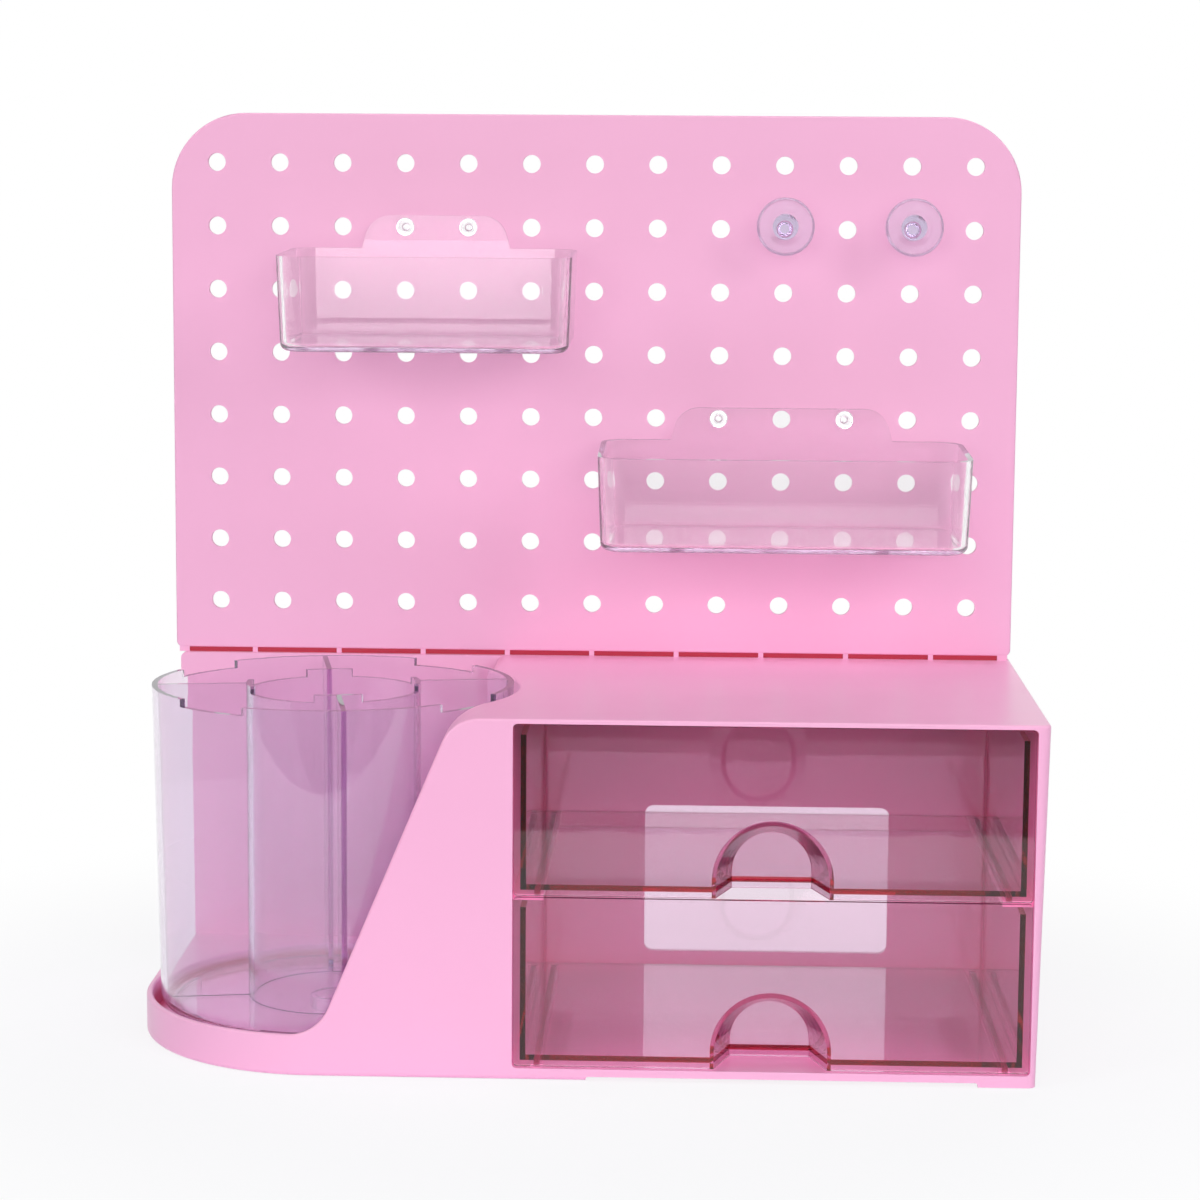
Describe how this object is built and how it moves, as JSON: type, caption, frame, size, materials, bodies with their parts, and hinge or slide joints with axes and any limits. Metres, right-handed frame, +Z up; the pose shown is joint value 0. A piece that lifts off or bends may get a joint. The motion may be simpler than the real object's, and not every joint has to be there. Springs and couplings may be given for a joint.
{
  "type": "pegboard desk organizer with drawers",
  "caption": "Desktop organizer: a housing with see-through drawers and a divided round pen cup, and an upright pegboard behind with hanging trays and knobs.",
  "frame": {"origin": "middle of the whole object's box at the height of its feet", "axes": "+Z up, -Y out of the drawer fronts, +X to the right seen from the front"},
  "size_m": [0.2825, 0.134, 0.2909],
  "materials": {
    "pink_plastic": "satin",
    "pink_board": "satin",
    "smoky_clear": "polished, see-through",
    "clear": "polished, see-through",
    "clear_grey": "polished, see-through"
  },
  "bodies": {
    "housing": {"housing": "pink_plastic"},
    "pegboard": {"pegboard": "pink_board"},
    "drawer_upper": {"drawer_upper": "smoky_clear"},
    "drawer_lower": {"drawer_lower": "smoky_clear"},
    "pen_cup": {"pen_cup": "clear_grey"},
    "small_tray": {"small_tray": "clear"},
    "large_tray": {"large_tray": "clear"},
    "knob_left": {"knob_left": "clear"},
    "knob_right": {"knob_right": "clear"}
  },
  "joints": [
    {"name": "upper_drawer_slide", "type": "slide", "parent": "housing", "child": "drawer_upper", "axis": [0, -1, 0], "range_m": [0, 0.1]},
    {"name": "lower_drawer_slide", "type": "slide", "parent": "housing", "child": "drawer_lower", "axis": [0, -1, 0], "range_m": [0, 0.1]},
    {"name": "cup_turn", "type": "hinge", "parent": "housing", "child": "pen_cup", "pos_m": [-0.07916, -0.0073, 0], "axis": [0, 0, 1], "continuous": true},
    {"name": "pegboard_lift", "type": "slide", "parent": "housing", "child": "pegboard", "axis": [0, 0, 1], "range_m": [0, 0.03]},
    {"name": "small_tray_pull_off", "type": "slide", "parent": "pegboard", "child": "small_tray", "axis": [0, -1, 0], "range_m": [0, 0.03]},
    {"name": "large_tray_pull_off", "type": "slide", "parent": "pegboard", "child": "large_tray", "axis": [0, -1, 0], "range_m": [0, 0.03]},
    {"name": "left_knob_pull_off", "type": "slide", "parent": "pegboard", "child": "knob_left", "axis": [0, -1, 0], "range_m": [0, 0.03]},
    {"name": "right_knob_pull_off", "type": "slide", "parent": "pegboard", "child": "knob_right", "axis": [0, -1, 0], "range_m": [0, 0.03]}
  ]
}
